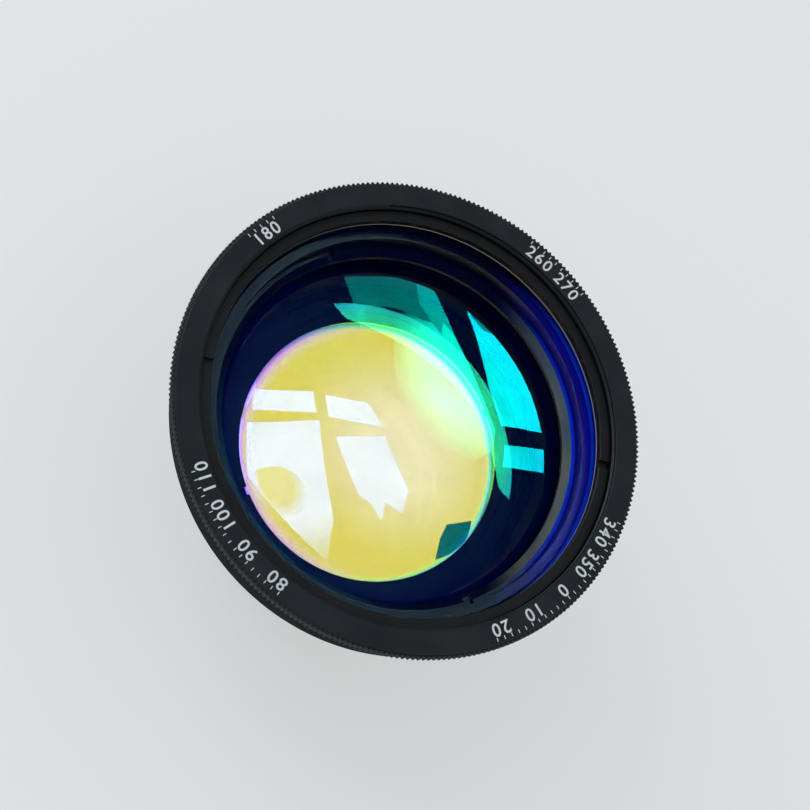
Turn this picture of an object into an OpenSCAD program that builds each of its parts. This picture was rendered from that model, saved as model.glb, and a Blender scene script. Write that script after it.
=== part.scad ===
// F-theta scan lens with an M85 x 1 mounting thread.
// Five glass elements sit in a turned aluminium housing and a screwed-in rear cell.
// The lens stands on its rear nose: +Z runs along the optical axis, out of the front glass,
// and z = 0 is the rear end. Inside the modules, depths are measured back from the front face.

/* [Flange] */
// Radial width of the flange outside the mounting thread, over the tooth tips
flange_w = 2.5; // [2.4:0.1:6]
// Thickness of the flange
flange_t = 3; // [2.6:0.1:5]
// Height of the bevel on both edges of the flange
flange_chamfer = 0.6; // [0.4:0.1:0.8]
// How far the bevel leans in
flange_lean = 0.2; // [0.1:0.05:0.4]
// Step from the bevel out to the roots of the teeth
tooth_step = 0.1; // [0.05:0.05:0.3]
// Number of knurl teeth round the flange
knurl_count = 288; // [96:4:320]
// Height of the knurl teeth
knurl_depth = 0.4; // [0.2:0.05:0.5]
// Radial width of the band that carries the teeth
knurl_band_w = 1.8; // [1:0.1:2]

/* [Mounting thread] */
// Nominal diameter of the mounting thread
thread_d = 85; // [84:0.5:86]
// Length of the threaded land
thread_len = 8.1; // [6:0.1:12]
// Depth below the thread of the seal's groove behind the flange
relief_depth = 1; // [0.8:0.1:1.5]
// Lead-in chamfer on the thread
thread_chamfer = 0.5; // [0.2:0.1:1]
// Cord diameter of the sealing ring behind the flange
mount_seal_cord = 1.5; // [1.2:0.1:1.7]
// Depth of that ring's recess in the rear face of the flange
seal_recess = 0.3; // [0.2:0.1:0.5]

/* [Barrel] */
// Wall of the barrel outside the front lens
barrel_wall = 4.4; // [3.6:0.1:5.4]
// Length of the short cylinder behind the thread
barrel_land = 1; // [0.5:0.5:3]
// Wall of the housing outside the rear cell's spigot
joint_wall = 2.75; // [2.4:0.05:4]
// Wall of the rear nose outside the rear lock ring
nose_wall = 3.6; // [2.4:0.1:5]
// Length of the cylindrical rear nose
nose_len = 4; // [2:0.5:7]
// Chamfer on the rear nose and on the joint between housing and cell
nose_chamfer = 0.6; // [0.3:0.1:1]

/* [Front window] */
// Wall between the mounting thread and the threaded bore for the front ring
front_wall = 2.7; // [2.2:0.1:4]
// Radial width of the front retaining ring
front_ring_w = 2.1; // [1.6:0.1:3]
// Depth of the retaining ring below the front face
ring_recess = 1.8; // [0.8:0.1:3]
// Thickness of the front retaining ring
front_ring_t = 1.6; // [1.2:0.1:3]
// Step from the threaded bore in to the edge of the protective window
window_step = 0.6; // [0.4:0.1:0.9]
// Thickness of the protective window
window_t = 2.5; // [2:0.1:4]
// Width of the window's seat, from the window's edge in to the next bore
window_seat_w = 3.6; // [2.6:0.1:5]
// Distance from the window's edge in to the middle of its seal
window_seal_inset = 1.2; // [0.9:0.1:1.7]
// Cord diameter of the window seal
window_seal_cord = 1.2; // [0.9:0.1:1.4]

/* [Lens elements] */
// Step from the lock ring's threaded bore in to the edge of the front lens
front_lens_step = 0.3; // [0.3:0.1:0.8]
// Edge thickness of the front lens
front_lens_edge = 5; // [4:0.5:7]
// Radius of curvature of the front lens, domed towards the window
front_lens_curve = 160; // [140:5:260]
// Air gap between the window and the top of the front lens
window_air = 1.9; // [1.2:0.1:4]
// Step from the edge of the front lens in to the edge of the second lens
second_lens_step = 3.3; // [2.4:0.1:5]
// Edge thickness of the second lens
second_lens_edge = 5.5; // [4.5:0.5:8]
// Radius of curvature of the second lens, front side
second_lens_curve = 120; // [110:5:220]
// Radius of curvature of the hollow side of the second lens
second_lens_hollow = 300; // [220:20:500]
// Air gap between the front lens and the top of the second lens
second_air = 1; // [0.6:0.1:3]
// Step from the edge of the second lens in to the edge of the third lens
third_lens_step = 7; // [6:0.2:9]
// Edge thickness of the third lens
third_lens_edge = 5; // [4.5:0.5:7]
// Radius of curvature of the hollow front of the third lens
third_lens_curve = 300; // [240:10:600]
// Radius of curvature of the hollow rear of the third lens
third_lens_hollow = 150; // [120:5:300]
// Step from the edge of the third lens in to the edge of the entrance lens
entrance_lens_step = 6; // [5:0.2:8]
// Edge thickness of the entrance lens
entrance_lens_edge = 5.4; // [4.6:0.2:7]
// Radius of curvature of the entrance lens, front side
entrance_lens_curve = 150; // [100:10:300]
// Radius of curvature of the hollow side of the entrance lens
entrance_lens_hollow = 45; // [40:1:80]
// Width of the flat ground seat round each lens face
lens_seat = 1.5; // [1:0.1:1.8]

/* [Rings and spacers] */
// Thickness of the soft pads between rings and glass
pad_t = 0.3; // [0.2:0.05:0.6]
// Thickness of the front lens lock ring
lock_ring_t = 2.2; // [1.6:0.1:2.6]
// How far the lock ring reaches in over the polished glass
lock_ring_lip = 0.4; // [0.1:0.1:0.8]
// Width of the bevel on the lock ring's inner edge
lock_ring_bevel = 1.3; // [0.5:0.1:1.6]
// Thickness of the wide front part of the lens spacer
spacer_flange_t = 2.2; // [1.4:0.1:2.8]
// Wall of the narrow part of the lens spacer at its front
spacer_wall = 0.5; // [0.4:0.1:1.2]
// Thickness of the shim under the second lens
shim_t = 0.4; // [0.2:0.05:0.8]
// Thickness of the housing web behind the second lens
web_t = 1.5; // [1.4:0.1:3]
// How far the housing web reaches in past the rear cell's spigot
web_lip = 0.4; // [0.4:0.1:2]
// Width of the slots that a pin spanner turns the rings by
slot_w = 1.5; // [1:0.1:2.5]
// Depth of the spanner slots
slot_depth = 0.9; // [0.5:0.1:1.1]
// Turn of the front retaining ring's slots about the axis
front_slot_turn = 39; // [-90:1:90]
// Turn of the front lens lock ring's slots about the axis
lock_slot_turn = -20; // [-90:1:90]
// Turn of the third lens ring's slots about the axis
third_slot_turn = 70; // [-90:1:90]

/* [Rear cell] */
// Wall of the threaded spigot outside the third lens's ring
spigot_wall = 3.4; // [3:0.1:4]
// Length of the spigot
spigot_len = 5; // [4.6:0.2:6]
// Depth of the third lens's ring below the front of the cell
cell_recess = 0.4; // [0.2:0.1:1]
// Thickness of the third lens's ring
third_ring_t = 1.4; // [1.3:0.1:2.5]
// Step from the edge of the third lens out to its ring's thread
third_ring_step = 0.6; // [0.3:0.1:0.9]
// Thickness of the glare stop
stop_t = 0.5; // [0.3:0.1:1]
// How far the glare stop reaches in past the polished glass
stop_reach = 2; // [0.5:0.1:4]
// Distance between the seats of the third and the entrance lens
cell_web = 5.2; // [4:0.2:9]
// Thickness of the rear lock ring
rear_ring_t = 2.2; // [1.5:0.1:3]
// Step from the edge of the entrance lens out to the rear ring's thread
rear_ring_step = 0.9; // [0.4:0.1:1.4]
// Depth of the rear lock ring below the rear end
rear_recess = 2.6; // [1:0.2:5]
// How far the rear lock ring reaches in past the polished glass
rear_ring_reach = 0.7; // [0.2:0.1:1.6]
// Cord diameter of the seal on the spigot
cell_seal_cord = 1; // [0.8:0.1:1.1]
// Width of the spigot wall between that seal and the joint
cell_groove_wall = 0.3; // [0.2:0.05:0.5]
// Distance from the front of the cell to the grub screws
grub_from_web = 2.2; // [2:0.1:2.3]
// Depth of the vee groove that the grub screws bear in
vee_depth = 0.5; // [0.3:0.1:0.6]
// Flat width at the bottom of the vee groove
vee_flat = 0.4; // [0.2:0.1:0.5]
// Thread diameter of the grub screws that lock the cell
grub_d = 2.5; // [2:0.5:3]
// Length of the grub screws
grub_len = 3; // [2.5:0.1:3.4]
// Number of grub screws
grub_count = 3; // [2:1:6]

/* [Fits] */
// Radial clearance of threaded rings and of the spigot
thread_gap = 0.05; // [0.03:0.01:0.1]
// Radial clearance round the glass and the loose rings
lens_gap = 0.1; // [0.05:0.01:0.15]
// Clearance of a seal in its groove
seal_gap = 0.02; // [0.01:0.01:0.05]
// Side clearance of a seal in its groove
seal_side_gap = 0.1; // [0.05:0.01:0.15]
// Length of the relief behind each inside thread
thread_runout = 0.4; // [0.2:0.1:0.6]

/* [Hidden] */

round_fn = 180;
screw_fn = 32;
eps = 0.5; // how far a cut runs past a face
knurl_sink = 0.3; // how far the toothed band runs into the flange
spigot_lead = 0.3; // chamfer on the front of the spigot
spacer_step_clear = 0.2; // room behind the step of the lens spacer

// Height of a spherical surface over a circle of radius a
function sag(curve, a) = curve - sqrt(curve * curve - a * a);

// Radii of the bores and of the glass, from the mounting thread inwards
thread_r = thread_d / 2;
front_bore_r = thread_r - front_wall;
front_clear_r = front_bore_r - front_ring_w;
window_r = front_bore_r - window_step;
window_seal_r = window_r - window_seal_inset;
lock_bore_r = window_r - window_seat_w;
front_r = lock_bore_r - front_lens_step;
second_r = front_r - second_lens_step;
third_r = second_r - third_lens_step;
entrance_r = third_r - entrance_lens_step;

// Radii of the polished part of each lens face
front_polish_r = front_r - lens_seat;
second_polish_r = second_r - lens_seat;
third_polish_r = third_r - lens_seat;
entrance_polish_r = entrance_r - lens_seat;

// Radii of the rings and of the rear cell's spigot
lock_clear_r = front_polish_r - lock_ring_lip;
third_thread_r = third_r + third_ring_step;
spigot_r = third_thread_r + spigot_wall;
rear_thread_r = entrance_r + rear_ring_step;

// Depths below the front face, one piece after the next
window_pad_at = ring_recess + front_ring_t;
window_at = window_pad_at + pad_t;
window_seat_at = window_at + window_t;
front_lens_at = window_seat_at + window_air + sag(front_lens_curve, front_polish_r);
front_pad_at = front_lens_at - pad_t;
lock_ring_at = front_pad_at - lock_ring_t;
spacer_at = front_lens_at + front_lens_edge;
second_lens_at = spacer_at + second_air + sag(second_lens_curve, second_polish_r);
shim_at = second_lens_at + second_lens_edge;
web_at = shim_at + shim_t;
cell_at = web_at + web_t;
third_ring_at = cell_at + cell_recess;
third_lens_at = third_ring_at + third_ring_t;
stop_at = third_lens_at + third_lens_edge;
third_seat_at = stop_at + stop_t;
joint_at = cell_at + spigot_len;
entrance_lens_at = third_seat_at + cell_web;
rear_pad_at = entrance_lens_at + entrance_lens_edge;
rear_ring_at = rear_pad_at + pad_t;
total_length = rear_ring_at + rear_ring_t + rear_recess;

// Outside of the housing
flange_r = thread_r + flange_w;
knurl_root_r = flange_r - knurl_depth;
relief_r = thread_r - relief_depth;
seat_r = relief_r + seal_gap + mount_seal_cord + seal_side_gap;
recess_at = flange_t - seal_recess;
thread_at = recess_at + mount_seal_cord + 2 * seal_side_gap + thread_chamfer;
barrel_at = thread_at + thread_len;
barrel_r = front_r + lens_gap + barrel_wall;
joint_r = spigot_r + thread_gap + joint_wall;
knurl_hub_r = knurl_root_r - knurl_band_w;
bevel_r = knurl_root_r - tooth_step;
rim_r = bevel_r - flange_lean;

// Rear cell
nose_r = rear_thread_r + nose_wall;
nose_at = total_length - nose_len;
grub_at = cell_at + grub_from_web;
vee_r = spigot_r - vee_depth;
grub_r = grub_d / 2 - thread_gap;
cell_groove_w = cell_seal_cord + 2 * seal_side_gap;
cell_groove_at = joint_at - cell_groove_wall - cell_groove_w;
cell_groove_r = spigot_r + thread_gap - cell_seal_cord - 2 * seal_gap;

// Draws its children with z measured back from the front face
module from_face() {
    translate([0, 0, total_length]) mirror([0, 0, 1]) children();
}

// A bore from depth a to depth b
module bore(r, a, b) {
    translate([0, 0, a]) cylinder(r = r, h = b - a, $fn = round_fn);
}

// A plain ring from depth a to depth b
module ring(outer, inner, a, b) {
    difference() {
        bore(outer, a, b);
        bore(inner, a - eps, b + eps);
    }
}

// Two spanner slots across a ring, cut from the face at depth a
module spanner_slots(outer, a, turn = 0) {
    rotate([0, 0, turn])
        translate([-outer - eps, -slot_w / 2, a - eps])
            cube([2 * (outer + eps), slot_w, slot_depth + eps]);
}

// An O-ring with its middle at radius r and depth a
module o_ring(r, cord, a) {
    translate([0, 0, a])
        rotate_extrude($fn = round_fn) translate([r, 0]) circle(r = cord / 2, $fn = 32);
}

// What is ground away round a dome that stands forward of depth a
module dome_waste(r, curve, polish_r, a) {
    height = sag(curve, polish_r);
    difference() {
        bore(r + eps, a - height - eps, a);
        translate([0, 0, a - height + curve]) sphere(r = curve, $fn = round_fn * 2);
    }
}

// A ball that leaves a hollow face of this curve where its rim lies at depth a
module front_hollow(curve, polish_r, a) {
    translate([0, 0, a + sag(curve, polish_r) - curve]) sphere(r = curve, $fn = round_fn * 2);
}

module rear_hollow(curve, polish_r, a) {
    translate([0, 0, a - sag(curve, polish_r) + curve]) sphere(r = curve, $fn = round_fn * 2);
}

// A lens with a ground edge from depth a, a domed front and a plain or hollow rear
module domed_lens(r, polish_r, edge, a, front_curve, rear_curve = 0) {
    difference() {
        bore(r, a - sag(front_curve, polish_r), a + edge);
        dome_waste(r, front_curve, polish_r, a);
        if (rear_curve > 0) rear_hollow(rear_curve, polish_r, a + edge);
    }
}

// Straight knurl: a toothed band round the middle of the flange
module knurl_band() {
    step = 360 / knurl_count;
    outline = [for (i = [0 : knurl_count - 1]) each
        [[knurl_root_r * cos(i * step), knurl_root_r * sin(i * step)],
         [flange_r * cos((i + 0.5) * step), flange_r * sin((i + 0.5) * step)]]];
    difference() {
        translate([0, 0, flange_chamfer])
            linear_extrude(flange_t - 2 * flange_chamfer) polygon(outline);
        bore(knurl_hub_r - knurl_sink, 0, flange_t);
    }
}

module housing_outside() {
    rotate_extrude($fn = round_fn)
        polygon([[0, 0],
                 [rim_r, 0],
                 [bevel_r, flange_chamfer],
                 [knurl_hub_r, flange_chamfer],
                 [knurl_hub_r, flange_t - flange_chamfer],
                 [bevel_r, flange_t - flange_chamfer],
                 [rim_r, flange_t],
                 [seat_r, flange_t],
                 [seat_r, recess_at],
                 [relief_r, recess_at],
                 [relief_r, thread_at - thread_chamfer],
                 [thread_r - thread_chamfer, thread_at - thread_chamfer],
                 [thread_r, thread_at],
                 [thread_r, barrel_at - thread_chamfer],
                 [thread_r - thread_chamfer, barrel_at],
                 [barrel_r, barrel_at],
                 [barrel_r, barrel_at + barrel_land],
                 [joint_r, joint_at],
                 [0, joint_at]]);
}

module housing() {
    color([0.17, 0.2, 0.23]) from_face() difference() {
        union() {
            housing_outside();
            knurl_band();
        }
        bore(front_bore_r, -eps, window_at + thread_runout);
        bore(window_r + lens_gap, window_at, window_seat_at);
        translate([0, 0, window_seat_at])
            ring(window_seal_r + window_seal_cord / 2 + seal_side_gap,
                 window_seal_r - window_seal_cord / 2 - seal_side_gap,
                 -eps, window_seal_cord + 2 * seal_gap);
        bore(lock_bore_r, window_seat_at - eps, front_lens_at - thread_runout);
        bore(front_r + lens_gap, window_seat_at, spacer_at + spacer_flange_t + spacer_step_clear);
        bore(second_r + lens_gap, spacer_at, web_at);
        bore(spigot_r - web_lip, shim_at, cell_at + eps);
        bore(spigot_r + thread_gap, cell_at, joint_at + eps);
        for (k = [0 : grub_count - 1])
            rotate([0, 90, k * 360 / grub_count])
                translate([-grub_at, 0, vee_r])
                    cylinder(d = grub_d, h = barrel_r, $fn = screw_fn);
    }
}

module front_retaining_ring() {
    color([0.22, 0.22, 0.2]) from_face() difference() {
        ring(front_bore_r - thread_gap, front_clear_r, ring_recess, window_pad_at);
        spanner_slots(front_bore_r, ring_recess, front_slot_turn);
    }
}

module window_pad() {
    color([0.85, 0.85, 0.82]) from_face()
        ring(window_r, front_clear_r, window_pad_at, window_at);
}

module protective_window() {
    color([0.75, 0.85, 0.95, 0.4]) from_face() bore(window_r, window_at, window_seat_at);
}

module window_seal() {
    color([0.1, 0.1, 0.1]) from_face()
        o_ring(window_seal_r, window_seal_cord,
               window_seat_at + seal_gap + window_seal_cord / 2);
}

module front_lock_ring() {
    color([0.13, 0.14, 0.15]) from_face() difference() {
        rotate_extrude($fn = round_fn)
            polygon([[lock_clear_r, front_pad_at],
                     [lock_clear_r, lock_ring_at + lock_ring_bevel],
                     [lock_clear_r + lock_ring_bevel, lock_ring_at],
                     [lock_bore_r - thread_gap, lock_ring_at],
                     [lock_bore_r - thread_gap, front_pad_at - thread_runout - pad_t],
                     [front_r, front_pad_at - thread_runout - pad_t],
                     [front_r, front_pad_at]]);
        spanner_slots(lock_bore_r, lock_ring_at, lock_slot_turn);
    }
}

module front_lens_pad() {
    color([0.85, 0.85, 0.82]) from_face() ring(front_r, front_polish_r, front_pad_at, front_lens_at);
}

module front_lens() {
    color([0.6, 0.75, 0.95, 0.4]) from_face()
        domed_lens(front_r, front_polish_r, front_lens_edge, front_lens_at, front_lens_curve);
}

module lens_spacer() {
    color([0.12, 0.13, 0.14]) from_face() rotate_extrude($fn = round_fn)
        polygon([[second_r - spacer_wall, spacer_at],
                 [front_r, spacer_at],
                 [front_r, spacer_at + spacer_flange_t],
                 [second_r, spacer_at + spacer_flange_t],
                 [second_r, second_lens_at],
                 [second_polish_r, second_lens_at]]);
}

module second_lens() {
    color([0.6, 0.9, 0.85, 0.4]) from_face()
        domed_lens(second_r, second_polish_r, second_lens_edge, second_lens_at,
             second_lens_curve, second_lens_hollow);
}

module second_lens_shim() {
    color([0.7, 0.7, 0.72]) from_face() ring(second_r, second_polish_r, shim_at, web_at);
}

module rear_cell() {
    color([0.15, 0.17, 0.19]) from_face() difference() {
        rotate_extrude($fn = round_fn)
            polygon([[0, cell_at],
                     [spigot_r - spigot_lead, cell_at],
                     [spigot_r, cell_at + spigot_lead],
                     [spigot_r, grub_at - vee_flat / 2 - vee_depth],
                     [vee_r, grub_at - vee_flat / 2],
                     [vee_r, grub_at + vee_flat / 2],
                     [spigot_r, grub_at + vee_flat / 2 + vee_depth],
                     [spigot_r, cell_groove_at],
                     [cell_groove_r, cell_groove_at],
                     [cell_groove_r, cell_groove_at + cell_groove_w],
                     [spigot_r, cell_groove_at + cell_groove_w],
                     [spigot_r, joint_at],
                     [joint_r - nose_chamfer, joint_at],
                     [joint_r - nose_chamfer / 2, joint_at + nose_chamfer],
                     [nose_r, nose_at],
                     [nose_r, total_length - nose_chamfer],
                     [nose_r - nose_chamfer, total_length],
                     [0, total_length]]);
        bore(third_thread_r, cell_at - eps, third_lens_at);
        bore(third_r + lens_gap, cell_at, third_seat_at);
        translate([0, 0, third_seat_at - eps])
            cylinder(r1 = third_polish_r, r2 = entrance_polish_r, h = cell_web + 2 * eps,
                     $fn = round_fn);
        bore(entrance_r + lens_gap, entrance_lens_at, rear_ring_at);
        bore(rear_thread_r, rear_pad_at, total_length + eps);
    }
}

module cell_seal() {
    color([0.1, 0.1, 0.1]) from_face()
        o_ring(cell_groove_r + seal_gap + cell_seal_cord / 2, cell_seal_cord,
               cell_groove_at + cell_groove_w / 2);
}

module cell_grub_screws() {
    color([0.3, 0.3, 0.32]) from_face() for (k = [0 : grub_count - 1])
        rotate([0, 90, k * 360 / grub_count]) translate([-grub_at, 0, vee_r])
            difference() {
                rotate_extrude($fn = screw_fn)
                    polygon([[0, 0],
                             [vee_flat / 2, 0],
                             [grub_r, grub_r - vee_flat / 2],
                             [grub_r, grub_len],
                             [0, grub_len]]);
                translate([0, 0, grub_len / 2])
                    cylinder(d = grub_d / 2, h = grub_len, $fn = 6);
            }
}

module third_lens_ring() {
    color([0.13, 0.14, 0.15]) from_face() difference() {
        ring(third_thread_r - thread_gap, third_polish_r, third_ring_at, third_lens_at);
        spanner_slots(third_thread_r, third_ring_at, third_slot_turn);
    }
}

module third_lens() {
    color([0.95, 0.85, 0.5, 0.4]) from_face() difference() {
        bore(third_r, third_lens_at, stop_at);
        front_hollow(third_lens_curve, third_polish_r, third_lens_at);
        rear_hollow(third_lens_hollow, third_polish_r, stop_at);
    }
}

module glare_stop() {
    color([0.08, 0.08, 0.09]) from_face() ring(third_r, third_polish_r - stop_reach, stop_at, third_seat_at);
}

module entrance_lens() {
    color([0.8, 0.85, 0.95, 0.4]) from_face()
        domed_lens(entrance_r, entrance_polish_r, entrance_lens_edge, entrance_lens_at,
             entrance_lens_curve, entrance_lens_hollow);
}

module rear_lens_pad() {
    color([0.85, 0.85, 0.82]) from_face() ring(entrance_r, entrance_polish_r, rear_pad_at, rear_ring_at);
}

module rear_lock_ring() {
    color([0.13, 0.14, 0.15]) from_face() difference() {
        ring(rear_thread_r - thread_gap, entrance_polish_r - rear_ring_reach, rear_ring_at, rear_ring_at + rear_ring_t);
        spanner_slots(rear_thread_r, rear_ring_at + rear_ring_t - slot_depth + eps);
    }
}

module mount_seal() {
    color([0.1, 0.1, 0.1]) from_face()
        o_ring(relief_r + seal_gap + mount_seal_cord / 2, mount_seal_cord,
               recess_at + seal_side_gap + mount_seal_cord / 2);
}

housing();
front_retaining_ring();
window_pad();
protective_window();
window_seal();
front_lock_ring();
front_lens_pad();
front_lens();
lens_spacer();
second_lens();
second_lens_shim();
rear_cell();
cell_seal();
cell_grub_screws();
third_lens_ring();
third_lens();
glare_stop();
entrance_lens();
rear_lens_pad();
rear_lock_ring();
mount_seal();
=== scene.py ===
import math
import bmesh
import bpy
from mathutils import Euler, Matrix, Vector


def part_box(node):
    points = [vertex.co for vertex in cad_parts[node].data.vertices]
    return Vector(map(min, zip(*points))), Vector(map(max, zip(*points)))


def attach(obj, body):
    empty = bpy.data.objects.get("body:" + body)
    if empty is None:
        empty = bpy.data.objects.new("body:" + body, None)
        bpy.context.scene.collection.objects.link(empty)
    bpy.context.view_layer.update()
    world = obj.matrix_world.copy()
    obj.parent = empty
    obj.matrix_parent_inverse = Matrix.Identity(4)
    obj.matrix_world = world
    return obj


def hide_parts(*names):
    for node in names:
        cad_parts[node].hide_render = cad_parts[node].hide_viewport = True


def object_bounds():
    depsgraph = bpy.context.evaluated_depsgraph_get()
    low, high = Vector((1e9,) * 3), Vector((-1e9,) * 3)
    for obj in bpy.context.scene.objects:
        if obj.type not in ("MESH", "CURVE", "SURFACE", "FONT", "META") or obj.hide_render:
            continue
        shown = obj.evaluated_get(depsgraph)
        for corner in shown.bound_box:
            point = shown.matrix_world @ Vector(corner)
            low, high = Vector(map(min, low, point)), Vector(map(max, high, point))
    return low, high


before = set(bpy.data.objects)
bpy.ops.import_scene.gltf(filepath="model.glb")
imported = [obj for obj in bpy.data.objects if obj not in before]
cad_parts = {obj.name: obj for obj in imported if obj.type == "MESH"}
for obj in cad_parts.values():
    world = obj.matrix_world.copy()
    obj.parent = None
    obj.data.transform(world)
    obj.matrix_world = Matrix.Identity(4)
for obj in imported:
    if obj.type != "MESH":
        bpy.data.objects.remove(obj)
cadBox = [list(corner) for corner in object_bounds()]
mm = 0.001
lensLength = cadBox[1][2] / mm  # the front face is this far above the rear end

# Radii, depths and sizes below are in mm, and a depth is counted back from the front face.


def linearColour(hexColour):
    values = [int(hexColour[i:i + 2], 16) / 255 for i in (1, 3, 5)]
    return tuple(v / 12.92 if v <= 0.04045 else ((v + 0.055) / 1.055) ** 2.4 for v in values) + (1.0,)


def addNode(tree, kind, settings=None, inputs=None):
    # settings are the node's own options; an input is a value, a socket, or a node for its first output
    node = tree.nodes.new(kind)
    for key, value in (settings or {}).items():
        setattr(node, key, value)
    for key, value in (inputs or {}).items():
        source = value.outputs[0] if isinstance(value, bpy.types.Node) else value
        if isinstance(source, bpy.types.NodeSocket):
            tree.links.new(source, node.inputs[key])
        else:
            node.inputs[key].default_value = source
    return node


def newObject(name, data):
    thing = bpy.data.objects.new(name, data)
    bpy.context.scene.collection.objects.link(thing)
    return thing


def newMaterial(name):
    material = bpy.data.materials.new(name)
    material.use_nodes = True
    tree = material.node_tree
    return material, tree, tree.nodes["Principled BSDF"]


def setRamp(ramp, stops):
    # stops are (position, hex colour), from low to high
    elements = ramp.color_ramp.elements
    elements[0].position = stops[0][0]
    elements[-1].position = stops[-1][0]
    for position, colour in stops[1:-1]:
        elements.new(position)
    for element, (position, colour) in zip(list(elements), stops):
        element.color = linearColour(colour)


def ringSize(node):
    # outer radius, front depth and rear depth of a round CAD node
    low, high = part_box(node)
    return high.x / mm, lensLength - high.z / mm, lensLength - low.z / mm


def turnedPiece(name, runs, steps=384, sharp=28):
    # turns a closed outline round the axis; a run is a finish and the (radius, depth) points whose
    # walls have it, a point on the axis becomes a pole, and later cuts take the first finish
    profile = [point for finish, points in runs for point in points]
    finishes = list(dict.fromkeys(finish for finish, points in runs))
    paint = [finishes.index(finish) for finish, points in runs for point in points]
    mesh = bpy.data.meshes.new(name)
    build = bmesh.new()
    rows = []
    for radius, depth in profile:
        angles = [2 * math.pi * k / steps for k in range(steps if radius > 1e-6 else 1)]
        circle = [(radius * math.cos(a), radius * math.sin(a), lensLength - depth) for a in angles]
        rows.append([build.verts.new(Vector(point) * mm) for point in circle])
    for i, row in enumerate(rows):
        other = rows[(i + 1) % len(rows)]
        if len(row) == 1 and len(other) == 1:
            continue
        for k in range(steps):
            corners = [row[k % len(row)], other[k % len(other)]]
            if len(other) > 1:
                corners.append(other[(k + 1) % steps])
            if len(row) > 1:
                corners.append(row[(k + 1) % steps])
            face = build.faces.new(corners)
            face.material_index = paint[i]
    bmesh.ops.recalc_face_normals(build, faces=build.faces)
    build.to_mesh(mesh)
    build.free()
    for finish in finishes:
        mesh.materials.append(finish)
    mesh.shade_smooth()
    mesh.set_sharp_from_angle(angle=math.radians(sharp))
    return newObject(name, mesh)


def settle(piece):
    # turns whatever its modifiers make into a plain mesh
    bpy.context.view_layer.update()
    depsgraph = bpy.context.evaluated_depsgraph_get()
    mesh = bpy.data.meshes.new_from_object(piece.evaluated_get(depsgraph))
    mesh.name = piece.name
    piece.modifiers.clear()
    piece.data = mesh
    return piece


def cutAway(piece, cutters):
    for cutter in cutters:
        cut = piece.modifiers.new("cut", "BOOLEAN")
        cut.object = cutter
        cut.operation = "DIFFERENCE"
        cut.solver = "EXACT"
    settle(piece)
    for cutter in cutters:
        bpy.data.objects.remove(cutter)
    piece.data.set_sharp_from_angle(angle=math.radians(28))


def standsFor(piece, nodes):
    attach(piece, "root")
    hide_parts(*nodes)
    return piece


def newTree(name, sizes):
    # a Geometry Nodes tree with a named input for each size, and one for its finish
    tree = bpy.data.node_groups.new(name, "GeometryNodeTree")
    kinds = {int: "NodeSocketInt", float: "NodeSocketFloat", tuple: "NodeSocketVector"}
    tree.interface.new_socket("Geometry", in_out="INPUT", socket_type="NodeSocketGeometry")
    for key, value in sizes.items():
        socket = tree.interface.new_socket(key, in_out="INPUT", socket_type=kinds[type(value)])
        socket.default_value = value
    tree.interface.new_socket("Finish", in_out="INPUT", socket_type="NodeSocketMaterial")
    tree.interface.new_socket("Geometry", in_out="OUTPUT", socket_type="NodeSocketGeometry")
    return tree, addNode(tree, "NodeGroupInput").outputs


def endTree(tree, geometry, finish):
    real = addNode(tree, "GeometryNodeRealizeInstances", {}, {"Geometry": geometry})
    dressed = addNode(tree, "GeometryNodeSetMaterial", {}, {"Geometry": real, "Material": finish})
    addNode(tree, "NodeGroupOutput", {}, {0: dressed})
    return tree


def nodesPiece(name, tree, values):
    # an empty mesh that carries a Geometry Nodes tree, settled into a plain mesh
    piece = newObject(name, bpy.data.meshes.new(name))
    modifier = piece.modifiers.new(name, "NODES")
    modifier.node_group = tree
    for item in tree.interface.items_tree:
        if item.item_type == "SOCKET" and item.in_out == "INPUT" and item.name in values:
            modifier[item.identifier] = values[item.name]
    return settle(piece)


# The window's coating throws its blue on one side of the bore behind it. That light is painted into the
# colour of the surfaces there, and the unlit tone is the painted shade of the other side.
litSide = (0.72, 0.69)
unlitTone = "#0a0d18"


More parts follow.
